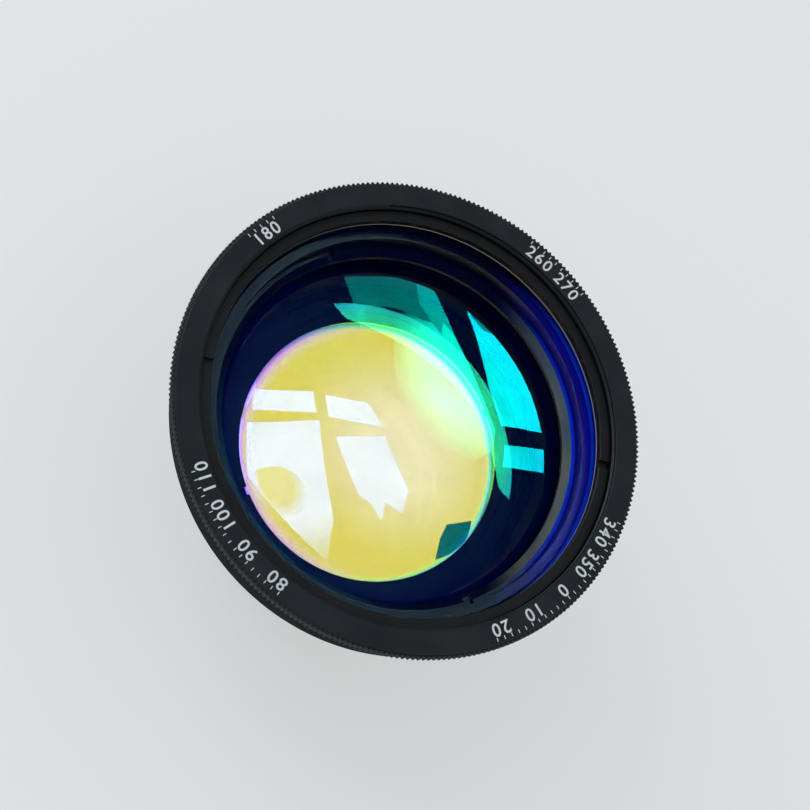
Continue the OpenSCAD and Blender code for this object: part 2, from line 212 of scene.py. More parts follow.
def grainedFinish(name, colour, worn, grain, roughness, bump, turning=0.0, index=1.5, lit=None):
    # a dull skin: fine grain breaks the gloss, and a slow cloud mixes in the worn tone;
    # turning is the spacing of a tool's marks, and lit gives how far out the painted light of the lit side
    # starts and is full, fading to the painted shade of the unlit tone
    material, tree, shader = newMaterial(name)
    place = addNode(tree, "ShaderNodeTexCoord").outputs["Object"]
    speckle = addNode(tree, "ShaderNodeTexNoise", {},
        {"Vector": place, "Scale": 1 / (grain * mm), "Detail": 3.0, "Roughness": 0.6})
    cloud = addNode(tree, "ShaderNodeTexNoise", {}, {"Vector": place, "Scale": 1 / (9 * mm), "Detail": 3.0})
    mixIn = addNode(tree, "ShaderNodeMapRange", {},
        {"Value": cloud, "From Min": 0.35, "From Max": 0.75, "To Min": 0.0, "To Max": 0.8})
    tone = addNode(tree, "ShaderNodeMix", {"data_type": "RGBA"},
        {0: mixIn, 6: linearColour(colour), 7: linearColour(worn)})
    finish = tone.outputs[2]
    # painted light: full colour on the lit side, fading to the painted shade of unlitTone on the other
    if lit:
        across = addNode(tree, "ShaderNodeVectorMath", {"operation": "DOT_PRODUCT"},
            {0: place, 1: (*litSide, 0)}).outputs["Value"]
        litPart = addNode(tree, "ShaderNodeMapRange", {"interpolation_type": "SMOOTHSTEP"},
            {"Value": across, "From Min": lit[0] * mm, "From Max": lit[1] * mm})
        shaded = addNode(tree, "ShaderNodeMix", {"data_type": "RGBA"},
            {0: litPart, 6: linearColour(unlitTone), 7: finish})
        finish = shaded.outputs[2]
    tree.links.new(finish, shader.inputs["Base Color"])
    rough = addNode(tree, "ShaderNodeMapRange", {}, {"Value": speckle, "From Min": 0.3, "From Max": 0.7,
        "To Min": roughness - 0.06, "To Max": roughness + 0.06})
    tree.links.new(rough.outputs["Result"], shader.inputs["Roughness"])
    height = speckle.outputs["Fac"]
    if turning:
        # one faint groove for each step that the tool fed along the radius or the axis
        apart = addNode(tree, "ShaderNodeSeparateXYZ", {}, {0: place})
        flat = addNode(tree, "ShaderNodeCombineXYZ", {}, {0: apart, 1: apart.outputs[1]})
        radius = addNode(tree, "ShaderNodeVectorMath", {"operation": "LENGTH"}, {0: flat})
        along = addNode(tree, "ShaderNodeMath", {"operation": "ADD"},
            {0: radius.outputs["Value"], 1: apart.outputs[2]})
        feed = addNode(tree, "ShaderNodeMath", {"operation": "MULTIPLY"},
            {0: along, 1: 2 * math.pi / (turning * mm)})
        wave = addNode(tree, "ShaderNodeMath", {"operation": "SINE"}, {0: feed})
        grooved = addNode(tree, "ShaderNodeMath", {"operation": "MULTIPLY_ADD"},
            {0: wave, 1: 0.35, 2: speckle})
        height = grooved.outputs[0]
    relief = addNode(tree, "ShaderNodeBump", {}, {"Height": height, "Strength": bump, "Distance": 0.04 * mm})
    tree.links.new(relief.outputs["Normal"], shader.inputs["Normal"])
    shader.inputs["IOR"].default_value = index
    return material


def steelFinish(name, colour, roughness):
    # bare metal with a gloss that changes a little from place to place
    material, tree, shader = newMaterial(name)
    place = addNode(tree, "ShaderNodeTexCoord").outputs["Object"]
    patch = addNode(tree, "ShaderNodeTexNoise", {},
        {"Vector": place, "Scale": 1 / (0.4 * mm), "Detail": 3.0})
    rough = addNode(tree, "ShaderNodeMapRange", {},
        {"Value": patch, "To Min": roughness - 0.08, "To Max": roughness + 0.08})
    tree.links.new(rough.outputs["Result"], shader.inputs["Roughness"])
    shader.inputs["Base Color"].default_value = linearColour(colour)
    shader.inputs["Metallic"].default_value = 1.0
    return material


# Blasting and turning leave marks of 0.02 to 0.1 mm, drawn two to four times coarser so that they show.
# blasted with glass beads, then anodised and dyed: an even dull black with a fine sparkle
housingFinish = grainedFinish("beadBlastedAnodisedAluminium", "#161c21", "#232a30", 0.16, 0.42, 0.45)
# turned and anodised: the tool's feed marks draw thin lines of light round the barrel
barrelFinish = grainedFinish("turnedAnodisedAluminium", "#161c21", "#232a30", 0.3, 0.34, 0.35, turning=0.22)
# fine turned and anodised: a deeper and smoother black
ringFinish = grainedFinish("anodisedRing", "#111314", "#1d1f20", 0.25, 0.36, 0.3, turning=0.2)
# bores brushed with matt lacquer, which swallows stray light
innerFinish = grainedFinish("matteBlackInterior", "#090b0e", "#0e1115", 0.2, 0.45, 0.3, 0.35, index=1.2)
# turned faces right behind the window, with the blue and violet light of its coating painted into their
# colour: a painted sheen on the lit side that fades to a painted shade on the other
paintedBlueSheenFinish = grainedFinish("anodisedWithPaintedBlueSheen", "#0a6ad8", "#0a4ad0", 0.2, 0.32, 0.3, 0.35, lit=(20, 36))
paintedVioletSheenFinish = grainedFinish("anodisedWithPaintedVioletSheen", "#3b0a86", "#2c10a0", 0.2, 0.32, 0.3, 0.35, lit=(14, 35))
# a rim whose pink colour is a painted highlight: one thin bright line on the lit side, fading to a painted
# shade on the other
paintedHighlightRimFinish = grainedFinish("anodisedRimWithPaintedHighlight", "#ff7cc0", "#e070c8", 0.2, 0.3, 0.2, 0.3, lit=(18, 35))
# a bevel whose warm colour is a painted highlight on the lit side, fading to a painted shade on the other
paintedHighlightBevelFinish = grainedFinish("bevelWithPaintedHighlight", "#ffc060", "#b08c60", 0.3, 0.3, 0.2, 0.3, lit=(18, 33))
# moulded rubber: matt, with the soft grain of the mould; the second has the window's blue light painted into
# its colour on the lit side, and a painted shade on the other
rubberFinish = grainedFinish("blackNitrileRubber", "#101112", "#1a1b1c", 0.4, 0.55, 0.2)
paintedBlueLightRubberFinish = grainedFinish("rubberWithPaintedBlueLight", "#0a6ad8", "#0a4ad0", 0.4, 0.5, 0.2, lit=(20, 36))
# film skived from a block: waxy white
padFinish = grainedFinish("whitePadFilm", "#c6c3ba", "#c4c0b4", 0.5, 0.6, 0.1)
# white ink, pad printed: slightly rough and thin
inkFinish = grainedFinish("printedInk", "#dfe3e2", "#c9cecd", 0.3, 0.5, 0.2)
# glass ground with fine grit and blackened, so that its edge throws nothing back
edgeFinish = grainedFinish("blackedGroundGlass", "#17181a", "#232527", 0.2, 0.6, 0.3)
# heat blackened steel with an oily gloss
screwFinish = steelFinish("blackenedSteel", "#26272a", 0.35)
# cold rolled strip: bright, with a soft gloss
shimFinish = steelFinish("springSteelShim", "#b9bcc0", 0.3)
# bare turned aluminium, whose yellow green colour is a painted reflection of the coating beside it
paintedReflectionBoreFinish = steelFinish("turnedBoreWithPaintedReflection", "#c4f06a", 0.22)

glassIndex = 1.45  # fused silica
farSide = (-0.683, -0.731)  # the side on which the gold coating is thicker


def glassFinish(name, tint, stops, reach, share, farStops=None):
    # polished glass under a vacuum coating; the coating throws back one hue at the middle, at 0, and
    # another at the rim, at 1, where reach is the rim's radius and share is how much it throws back
    material, tree, coat = newMaterial(name)
    coat.inputs["Metallic"].default_value = 1.0
    coat.inputs["Roughness"].default_value = 0.0
    clear = addNode(tree, "ShaderNodeBsdfRefraction", {},
        {"Color": linearColour(tint), "Roughness": 0.0, "IOR": glassIndex})
    place = addNode(tree, "ShaderNodeTexCoord").outputs["Object"]
    flat = addNode(tree, "ShaderNodeVectorMath", {"operation": "MULTIPLY"},
        {0: place, 1: (1 / (reach * mm), 1 / (reach * mm), 0)})
    radius = addNode(tree, "ShaderNodeVectorMath", {"operation": "LENGTH"}, {0: flat})
    drift = addNode(tree, "ShaderNodeTexNoise", {}, {"Vector": place, "Scale": 1 / (14 * mm), "Detail": 2.0})
    uneven = addNode(tree, "ShaderNodeMath", {"operation": "MULTIPLY_ADD"},
        {0: drift, 1: 0.02, 2: radius.outputs["Value"]})
    ramp = addNode(tree, "ShaderNodeValToRGB", {}, {0: uneven})
    setRamp(ramp, stops)
    hue = ramp.outputs[0]
    if farStops:
        across = addNode(tree, "ShaderNodeVectorMath", {"operation": "DOT_PRODUCT"},
            {0: flat, 1: (*farSide, 0)})
        farPart = addNode(tree, "ShaderNodeMapRange", {"interpolation_type": "SMOOTHSTEP"},
            {"Value": across.outputs["Value"], "From Min": -0.1, "From Max": 0.75})
        farRamp = addNode(tree, "ShaderNodeValToRGB", {}, {0: uneven})
        setRamp(farRamp, farStops)
        drifted = addNode(tree, "ShaderNodeMix", {"data_type": "RGBA"}, {0: farPart, 6: hue, 7: farRamp})
        hue = drifted.outputs[2]
    tree.links.new(hue, coat.inputs["Base Color"])
    both = addNode(tree, "ShaderNodeMixShader", {}, {0: share, 1: clear, 2: coat})
    tree.links.new(both.outputs[0], tree.nodes["Material Output"].inputs["Surface"])
    return material


windowGlass = glassFinish("clearWindowGlass", "#fbfdff", [(0.0, "#3048c0"), (1.0, "#3048c0")], 40, 0.02)
frontGlass = glassFinish(
    "cyanCoatedGlass", "#f8fcff",
    [(0.0, "#00f0d0"), (0.6, "#00f4dc"), (0.88, "#00e4f4"), (0.98, "#1030ff"), (1.0, "#4020ff")], 34, 0.12)
secondGlass = glassFinish(
    "greenCoatedGlass", "#f8fdfc",
    [(0.0, "#a8d0f0"), (0.45, "#90f0c0"), (0.72, "#30f090"), (1.0, "#1080f0")], 31, 0.1)
goldGlass = glassFinish(
    "goldCoatedGlass", "#ffffff",
    [(0.0, "#fbe069"), (0.92, "#fbe069"), (0.955, "#f0f080"), (0.975, "#90f0a8"), (1.0, "#30d8d8")],
    23.9, 0.92, farStops=[(0.0, "#fbe069"), (0.86, "#fbe069"), (0.92, "#fcdcc8"), (0.955, "#f0b8f8"),
                          (0.98, "#b468ff"), (1.0, "#3828ff")])
rearGlass = glassFinish("blueCoatedGlass", "#f8faff", [(0.0, "#3060ff"), (1.0, "#7040ff")], 18, 0.06)
plainGlass = glassFinish("polishedGlass", "#fafdff", [(0.0, "#5070d0"), (1.0, "#5070d0")], 40, 0.01)
print("finishes ready")

# Places of the CAD nodes that the pieces below fit against.
jointDepth = ringSize("housing")[2]
windowRadius, windowAt, windowBack = ringSize("protective_window")
frontRadius = ringSize("front_lens")[0]
lockRadius, lockAt, lockBack = ringSize("front_lock_ring")
lockPadAt, frontSeatAt = ringSize("front_lens_pad")[1:]
secondRadius = ringSize("second_lens")[0]
webAt = ringSize("second_lens_shim")[2]
cellAt = ringSize("rear_cell")[1]
spacerRadius, spacerAt, spacerBack = ringSize("lens_spacer")
thirdRadius, thirdAt = ringSize("third_lens")[:2]
grubFrom, grubTo = ringSize("cell_grub_screws")[1:]
grubDepth = (grubFrom + grubTo) / 2
# the ledge lies a hair behind the glass, so the two faces never share a plane
seatDepth = windowBack + 0.02

housingShape = {
    "faceAt": 0.03,  # leaves room for the ink inside the overall length
    "mouth": 40.15,
    "mouthBevel": 0.1,
    "edge": 0.08,
    "rim": 44.3,
    "knurlEdge": 44.48,
    "knurlRoot": 44.6,
    "knurlFrom": 0.6,
    "knurlTo": 2.4,
    "knurlStep": 0.02,  # along the axis, where the teeth begin and end
    "flangeBack": 3.0,
    "sealRecess": 43.12,
    "sealRecessAt": 2.7,
    "relief": 41.5,
    "threadRoot": 41.88,
    "threadFrom": 4.4,
    "threadBack": 13.0,
    "threadLead": 0.2,
    "threadBevel": 0.18,
    "neckFillet": 0.15,
    "neck": 39.8,
    "taperFrom": 14.0,
    "taperBack": 33.8,
    "taperEnd": 31.9,
    "jointBevel": 0.1,
    "spigotBore": 29.05,
    "webBore": 28.6,
    "lensGap": 0.1,
    "lockGap": 0.05,
    "boreRelief": 0.4,  # how far a narrow bore runs on past the piece that it holds
    "collarSeat": 2.4,  # behind the front of the spacer, whose collar rests on it
    "ledge": 37.3,
    "grooveRadius": 38.7,
    "grooveDepth": 1.24,
    "grubHole": 2.5,
    "grubAt": 34,
    "grubReach": 12,
}


def housingRuns(shape):
    # round the wall: face and rim, thread and barrel, up the bores, past the window's ledge and out
    rim, edge, faceAt, flangeBack = shape["rim"], shape["edge"], shape["faceAt"], shape["flangeBack"]
    knurlEdge, knurlRoot = shape["knurlEdge"], shape["knurlRoot"]
    knurlFrom, knurlTo = shape["knurlFrom"], shape["knurlTo"]
    threadRoot, threadFrom, threadBack = shape["threadRoot"], shape["threadFrom"], shape["threadBack"]
    neck, fillet, knurlStep = shape["neck"], shape["neckFillet"], shape["knurlStep"]
    grooveAt, collarSeat = windowBack + shape["grooveDepth"], spacerAt + shape["collarSeat"]
    secondBore, frontBore = secondRadius + shape["lensGap"], frontRadius + shape["lensGap"]
    lockBore, lockBoreBack = lockRadius + shape["lockGap"], frontSeatAt - shape["boreRelief"]
    mouth, mouthBevel, mouthBack = shape["mouth"], shape["mouthBevel"], windowAt + shape["boreRelief"]
    return [
        (housingFinish, [
            (mouth + mouthBevel, faceAt), (rim - edge, faceAt), (rim, faceAt + edge),
            (knurlEdge, knurlFrom), (knurlRoot, knurlFrom + knurlStep), (knurlRoot, knurlTo - knurlStep),
            (knurlEdge, knurlTo), (rim, flangeBack - edge), (rim - edge, flangeBack)]),
        (barrelFinish, [
            (shape["sealRecess"], flangeBack), (shape["sealRecess"], shape["sealRecessAt"]),
            (shape["relief"], shape["sealRecessAt"]), (shape["relief"], threadFrom),
            (threadRoot, threadFrom + shape["threadLead"]), (threadRoot, threadBack - fillet),
            (threadRoot - shape["threadBevel"], threadBack), (neck + fillet, threadBack),
            (neck, threadBack + fillet), (neck, shape["taperFrom"]),
            (shape["taperEnd"], shape["taperBack"]), (shape["taperEnd"] - shape["jointBevel"], jointDepth)]),
        (innerFinish, [
            (shape["spigotBore"], jointDepth), (shape["spigotBore"], cellAt), (shape["webBore"], cellAt),
            (shape["webBore"], webAt), (secondBore, webAt), (secondBore, collarSeat),
            (frontBore, collarSeat), (frontBore, lockBoreBack)]),
        # the lock bore, the window's ledge and its groove carry painted violet and blue sheen on the lit
        # side
        (paintedVioletSheenFinish, [(lockBore, lockBoreBack), (lockBore, seatDepth)]),
        (paintedBlueSheenFinish, [
            (shape["ledge"], seatDepth), (shape["ledge"], grooveAt), (shape["grooveRadius"], grooveAt),
            (shape["grooveRadius"], seatDepth)]),
        (innerFinish, [
            (windowRadius + shape["lensGap"], seatDepth), (windowRadius + shape["lensGap"], mouthBack)]),
        (housingFinish, [(mouth, mouthBack), (mouth, faceAt + mouthBevel)]),
    ]


def grubCutter(turn):
    mesh = bpy.data.meshes.new("grubCutter")
    build = bmesh.new()
    middle = Vector((housingShape["grubAt"], 0, lensLength - grubDepth)) * mm
    place = (Matrix.Rotation(math.radians(turn), 4, "Z") @ Matrix.Translation(middle)
             @ Matrix.Rotation(math.pi / 2, 4, "Y"))
    radius = housingShape["grubHole"] / 2 * mm
    bmesh.ops.create_cone(build, cap_ends=True, segments=48, radius1=radius, radius2=radius,
                          depth=housingShape["grubReach"] * mm, matrix=place)
    build.to_mesh(mesh)
    build.free()
    return newObject("grubCutter", mesh)


housing = turnedPiece("housingBody", housingRuns(housingShape), steps=480)
cutAway(housing, [grubCutter(turn) for turn in (0, 120, 240)])
standsFor(housing, ["housing"])
print("housing turned")

knurlShape = {
    "teeth": 288,
    "root": housingShape["knurlRoot"],
    "tip": 45.0,
    "width": 1.76,
    "middle": (housingShape["knurlFrom"] + housingShape["knurlTo"]) / 2,
    "sunk": 1.15,  # a tooth is this many times its visible height, the rest is inside the metal
    "footShare": 0.94,  # of the spacing
    "tipShare": 0.14,  # of the foot
}


def knurlTree():
    tree, given = newTree("knurlTeeth", {"Teeth": 288, "Root Radius": 0.0446, "Tip Radius": 0.045,
                                         "Width": 0.0018, "Middle Height": 0.05})
    rise = addNode(tree, "ShaderNodeMath", {"operation": "SUBTRACT"},
        {0: given["Tip Radius"], 1: given["Root Radius"]})
    deep = addNode(tree, "ShaderNodeMath", {"operation": "MULTIPLY"}, {0: rise, 1: knurlShape["sunk"]})
    around = addNode(tree, "ShaderNodeMath", {"operation": "MULTIPLY"},
        {0: given["Root Radius"], 1: 2 * math.pi * knurlShape["footShare"]})
    foot = addNode(tree, "ShaderNodeMath", {"operation": "DIVIDE"}, {0: around, 1: given["Teeth"]})
    tip = addNode(tree, "ShaderNodeMath", {"operation": "MULTIPLY"}, {0: foot, 1: knurlShape["tipShare"]})
    outline = addNode(tree, "GeometryNodeCurvePrimitiveQuadrilateral", {"mode": "TRAPEZOID"},
        {"Bottom Width": foot, "Top Width": tip, "Offset": 0.0, "Height": deep})
    # the trapezoid stands on the root circle with its foot a little inside the metal
    half = addNode(tree, "ShaderNodeMath", {"operation": "MULTIPLY"}, {0: deep, 1: 0.5})
    reach = addNode(tree, "ShaderNodeMath", {"operation": "SUBTRACT"}, {0: given["Tip Radius"], 1: half})
    face = addNode(tree, "GeometryNodeFillCurve", {}, {"Curve": outline})
    bar = addNode(tree, "GeometryNodeExtrudeMesh", {"mode": "FACES"},
        {"Mesh": face, "Offset Scale": given["Width"], "Individual": False})
    back = addNode(tree, "GeometryNodeFlipFaces", {}, {"Mesh": face})
    whole = addNode(tree, "GeometryNodeJoinGeometry", {}, {0: bar})
    tree.links.new(back.outputs[0], whole.inputs[0])
    welded = addNode(tree, "GeometryNodeMergeByDistance", {}, {"Geometry": whole, "Distance": 1e-6})
    halfWidth = addNode(tree, "ShaderNodeMath", {"operation": "MULTIPLY"}, {0: given["Width"], 1: -0.5})
    shift = addNode(tree, "ShaderNodeCombineXYZ", {}, {1: reach, 2: halfWidth})
    tooth = addNode(tree, "GeometryNodeTransform", {}, {"Geometry": welded, "Translation": shift})
    line = addNode(tree, "GeometryNodePoints", {}, {"Count": given["Teeth"]})
    number = addNode(tree, "GeometryNodeInputIndex")
    part = addNode(tree, "ShaderNodeMath", {"operation": "DIVIDE"}, {0: number, 1: given["Teeth"]})
    angle = addNode(tree, "ShaderNodeMath", {"operation": "MULTIPLY"}, {0: part, 1: 2 * math.pi})
    turn = addNode(tree, "ShaderNodeCombineXYZ", {}, {2: angle})
    ring = addNode(tree, "GeometryNodeInstanceOnPoints", {},
        {"Points": line, "Instance": tooth, "Rotation": turn})
    lift = addNode(tree, "ShaderNodeCombineXYZ", {}, {2: given["Middle Height"]})
    raised = addNode(tree, "GeometryNodeTransform", {}, {"Geometry": ring, "Translation": lift})
    return endTree(tree, raised, given["Finish"])


knurl = nodesPiece("knurlTeeth", knurlTree(), {
    "Teeth": knurlShape["teeth"],
    "Root Radius": knurlShape["root"] * mm,
    "Tip Radius": knurlShape["tip"] * mm,
    "Width": knurlShape["width"] * mm,
    "Middle Height": (lensLength - knurlShape["middle"]) * mm,
    "Finish": housingFinish,
})
standsFor(knurl, ["housing"])
print("knurl", len(knurl.data.polygons), [round(c / mm, 2) for c in knurl.dimensions])

# crest is the radius of the thread's crests, and inwards is 1 for an outside thread, -1 for an inside one
mountThreadShape = {"crest": 42.5, "ridge": 0.72, "pitch": 1.0, "turns": 7.3, "lowest": 12.35, "inwards": 1}
insideThreadShape = {"crest": 39.8, "ridge": 0.44, "pitch": 0.5, "turns": 2.6, "lowest": 1.62, "inwards": -1}


threadShares = {"foot": 0.86, "crest": 0.16}  # widths of a ridge's foot and crest, of the pitch


def threadTree():
    # a trapezoid ridge swept along a rising helix
    tree, given = newTree("threadRidge", {"Radius": 0.042, "Pitch": 0.001, "Turns": 7.0, "Ridge": 0.0006,
                                          "Inwards": 1.0, "Start Height": 0.03, "Steps": 240})
    climb = addNode(tree, "ShaderNodeMath", {"operation": "MULTIPLY"},
        {0: given["Pitch"], 1: given["Turns"]})
    path = addNode(tree, "GeometryNodeCurveSpiral", {}, {"Resolution": given["Steps"],
        "Rotations": given["Turns"], "Height": climb, "Start Radius": given["Radius"],
        "End Radius": given["Radius"]})
    upright = addNode(tree, "GeometryNodeSetCurveNormal", {"mode": "Z_UP"}, {"Curve": path})
    foot = addNode(tree, "ShaderNodeMath", {"operation": "MULTIPLY"},
        {0: given["Pitch"], 1: threadShares["foot"]})
    crest = addNode(tree, "ShaderNodeMath", {"operation": "MULTIPLY"},
        {0: given["Pitch"], 1: threadShares["crest"]})
    outline = addNode(tree, "GeometryNodeCurvePrimitiveQuadrilateral", {"mode": "TRAPEZOID"},
        {"Bottom Width": foot, "Top Width": crest, "Offset": 0.0, "Height": given["Ridge"]})
    quarter = addNode(tree, "ShaderNodeMath", {"operation": "MULTIPLY"},
        {0: given["Inwards"], 1: math.pi / 2})
    turn = addNode(tree, "ShaderNodeCombineXYZ", {}, {2: quarter})
    section = addNode(tree, "GeometryNodeTransform", {}, {"Geometry": outline, "Rotation": turn})
    sweep = addNode(tree, "GeometryNodeCurveToMesh", {},
        {"Curve": upright, "Profile Curve": section, "Fill Caps": True})
    lift = addNode(tree, "ShaderNodeCombineXYZ", {}, {2: given["Start Height"]})
    raised = addNode(tree, "GeometryNodeTransform", {}, {"Geometry": sweep, "Translation": lift})
    return endTree(tree, raised, given["Finish"])


threads = threadTree()
for name, shape, finish in [("mountThread", mountThreadShape, barrelFinish),
                            ("insideThread", insideThreadShape, housingFinish)]:
    thread = nodesPiece(name, threads, {
        "Radius": (shape["crest"] - shape["inwards"] * shape["ridge"] / 2) * mm,
        "Pitch": shape["pitch"] * mm,
        "Turns": shape["turns"],
        "Ridge": shape["ridge"] * mm,
        "Inwards": float(shape["inwards"]),
        "Start Height": (lensLength - shape["lowest"]) * mm,
        "Steps": 300,
        "Finish": finish,
    })
    radii = [math.hypot(v.co.x, v.co.y) / mm for v in thread.data.vertices]
    depths = [lensLength - v.co.z / mm for v in thread.data.vertices]
    print(name, "radius", round(min(radii), 3), round(max(radii), 3),
          "depth", round(min(depths), 3), round(max(depths), 3))
    standsFor(thread, ["housing"])

# A bar laid across a ring at one angle cuts its two spanner slots. It stands proud of the face that it
# cuts, so that it leaves no skin over them, and inwards is -1 where that face looks to the rear.
slotShape = {"width": 1.5, "depth": 0.9, "proud": 0.1}


def cutSlots(ring, radius, face, turn, inwards=1):
    depth, proud = slotShape["depth"], slotShape["proud"]
    middle = Vector((0, 0, lensLength - face - inwards * (depth - proud) / 2)) * mm
    size = Vector((2 * radius + 10, slotShape["width"], depth + proud)) * mm
    place = Matrix.Rotation(math.radians(turn), 4, "Z") @ Matrix.Translation(middle)
    mesh = bpy.data.meshes.new("slotCutter")
    build = bmesh.new()
    bmesh.ops.create_cube(build, size=1.0, matrix=place @ Matrix.Diagonal((*size, 1)))
    build.to_mesh(mesh)
    build.free()
    cutAway(ring, [newObject("slotCutter", mesh)])


def flatRing(name, node, bore, finish):
    radius, start, end = ringSize(node)
    outline = [(bore, start), (radius, start), (radius, end), (bore, end)]
    return standsFor(turnedPiece(name, [(finish, outline)]), [node])


frontRingShape = {"clear": 37.7, "bevel": 0.12, "edge": 0.15, "slotTurn": 39}
ringRadius, ringAt, ringBack = ringSize("front_retaining_ring")
clear, bevel, edge = frontRingShape["clear"], frontRingShape["bevel"], frontRingShape["edge"]
frontRing = turnedPiece("retainingRing", [(ringFinish, [
    (clear, ringAt + bevel), (clear + bevel, ringAt), (ringRadius - edge, ringAt),
    (ringRadius, ringAt + edge), (ringRadius, ringBack), (clear, ringBack)])])
cutSlots(frontRing, ringRadius, ringAt, frontRingShape["slotTurn"])
standsFor(frontRing, ["front_retaining_ring"])

lockRingShape = {"clear": 33.4, "bevel": 1.3, "edge": 0.1, "collar": 0.7, "slotTurn": -20}
clear, bevel, edge = lockRingShape["clear"], lockRingShape["bevel"], lockRingShape["edge"]
collarAt = lockPadAt - lockRingShape["collar"]
# the bevel, the flat face and the rim carry painted highlight and painted blue sheen on the lit side
lockRing = turnedPiece("lensLockRing", [
    (ringFinish, [(clear, lockBack)]),
    (paintedHighlightBevelFinish, [(clear, lockAt + bevel)]),
    (paintedBlueSheenFinish, [(clear + bevel, lockAt)]),
    (paintedHighlightRimFinish, [(lockRadius - edge, lockAt)]),
    (ringFinish, [(lockRadius, lockAt + edge), (lockRadius, collarAt), (frontRadius, collarAt),
                  (frontRadius, lockBack)])])
cutSlots(lockRing, lockRadius, lockAt, lockRingShape["slotTurn"])
standsFor(lockRing, ["front_lock_ring"])

spacerShape = {"frontBore": 31.5, "rearBore": 30.5, "collar": 2.2}
collarBack = spacerAt + spacerShape["collar"]
spacer = turnedPiece("lensSpacer", [(innerFinish, [
    (spacerShape["frontBore"], spacerAt), (spacerRadius, spacerAt), (spacerRadius, collarBack),
    (secondRadius, collarBack), (secondRadius, spacerBack), (spacerShape["rearBore"], spacerBack)])])
standsFor(spacer, ["lens_spacer"])

# curvature of each polished face, and the width of the flat ground seat round it
lensSeat = 1.5
frontCurve = {"front": 160}
secondCurve = {"front": 120, "rear": 300}
thirdCurve = {"front": 300, "bulge": -1, "rear": 150}
entranceCurve = {"front": 150, "rear": 45}

thirdRingShape = {"edge": 0.1, "slotTurn": 70}
thirdRingRadius, thirdRingAt, thirdRingBack = ringSize("third_lens_ring")
thirdClear = thirdRadius - lensSeat
# its bore has a painted reflection of the coating's yellow green in its colour
thirdRing = turnedPiece("thirdLensRing", [
    (innerFinish, [(thirdClear + thirdRingShape["edge"], thirdRingAt), (thirdRingRadius, thirdRingAt),
                   (thirdRingRadius, thirdRingBack)]),
    (paintedReflectionBoreFinish, [(thirdClear, thirdRingBack), (thirdClear, thirdRingAt + thirdRingShape["edge"])])])
cutSlots(thirdRing, thirdRingRadius, thirdRingAt, thirdRingShape["slotTurn"])
standsFor(thirdRing, ["third_lens_ring"])

glareStopLip = 2  # how far it reaches in over the edge of the lens
flatRing("glareStop", "glare_stop", thirdClear - glareStopLip, innerFinish)

rearRingShape = {"clear": 16.8, "edge": 0.15, "mouth": 0.2, "slotTurn": 0}
rearRingRadius, rearRingAt, rearRingBack = ringSize("rear_lock_ring")
clear, edge, mouth = rearRingShape["clear"], rearRingShape["edge"], rearRingShape["mouth"]
rearRing = turnedPiece("rearLockRing", [(ringFinish, [
    (clear, rearRingAt), (rearRingRadius, rearRingAt), (rearRingRadius, rearRingBack - edge),
    (rearRingRadius - edge, rearRingBack), (clear + mouth, rearRingBack), (clear, rearRingBack - mouth)])])
cutSlots(rearRing, rearRingRadius, rearRingBack, rearRingShape["slotTurn"], inwards=-1)
standsFor(rearRing, ["rear_lock_ring"])
print("rings turned")

padBores = {"window": 37.7, "front": 33.8, "rear": 17.5}
flatRing("windowPad", "window_pad", padBores["window"], padFinish)
flatRing("frontLensPad", "front_lens_pad", padBores["front"], padFinish)
flatRing("rearLensPad", "rear_lens_pad", padBores["rear"], padFinish)
flatRing("secondLensShim", "second_lens_shim", spacerShape["rearBore"], shimFinish)


def sealRing(name, node, finish=rubberFinish, sides=24):
    radius, start, end = ringSize(node)
    cord = (end - start) / 2
    angles = [2 * math.pi * k / sides for k in range(sides)]
    points = [(radius - cord + cord * math.cos(a), (start + end) / 2 + cord * math.sin(a)) for a in angles]
    return standsFor(turnedPiece(name, [(finish, points)], sharp=60), [node])


# the window seal has the window's blue light painted into its colour
sealRing("windowSeal", "window_seal", paintedBlueLightRubberFinish)
sealRing("mountSeal", "mount_seal")
sealRing("cellSeal", "cell_seal")
print("pads and seals laid")

dialMarks = {
    "fontSize": 3.4,
    "boldness": 0.04,
    "digitStep": 2.05,
    "textRadius": 41.75,
    "tickFrom": 43.2,
    "tickTo": 43.9,
    "tickWidth": 0.16,
    "tickStep": 2,  # degrees
    "figureStep": 10,  # degrees
    "inkDepth": 0.02,
}
dialArcs = [(-22, 24), (-113, -77), (86, 104), (176, 184)]  # degrees round the axis that carry marks
inkMiddle = lensLength - dialMarks["inkDepth"] / 2


def printedDigit(digit, turn):
    # a flat digit at one angle of the dial, its top outwards
    curve = bpy.data.curves.new("digit", "FONT")
    curve.body = digit
    curve.size = dialMarks["fontSize"] * mm
    curve.align_x = "CENTER"
    curve.align_y = "CENTER"
    curve.extrude = dialMarks["inkDepth"] / 2 * mm
    curve.offset = dialMarks["boldness"] * mm
    curve.resolution_u = 4
    source = newObject("digit", curve)
    bpy.context.view_layer.update()
    mesh = bpy.data.meshes.new_from_object(source.evaluated_get(bpy.context.evaluated_depsgraph_get()))
    bpy.data.objects.remove(source)
    mesh.transform(Matrix.Rotation(math.radians(turn), 4, "Z")
                   @ Matrix.Translation((dialMarks["textRadius"] * mm, 0, inkMiddle * mm))
                   @ Matrix.Rotation(-math.pi / 2, 4, "Z"))
    return mesh


def dialFigures():
    # plain degree figures, each digit at its own place on the circle
    build = bmesh.new()
    digitTurn = math.degrees(dialMarks["digitStep"] / dialMarks["textRadius"])
    for start, end in dialArcs:
        for azimuth in range(-180, 181, dialMarks["figureStep"]):
            if not start <= azimuth <= end:
                continue
            word = str((-azimuth) % 360)
            for i, digit in enumerate(word):
                mesh = printedDigit(digit, azimuth - (i - (len(word) - 1) / 2) * digitTurn)
                build.from_mesh(mesh)
                bpy.data.meshes.remove(mesh)
    mesh = bpy.data.meshes.new("dialFigures")
    build.to_mesh(mesh)
    build.free()
    mesh.materials.clear()
    mesh.materials.append(inkFinish)
    for face in mesh.polygons:
        face.material_index = 0
    return newObject("dialFigures", mesh)


standsFor(dialFigures(), ["housing"])


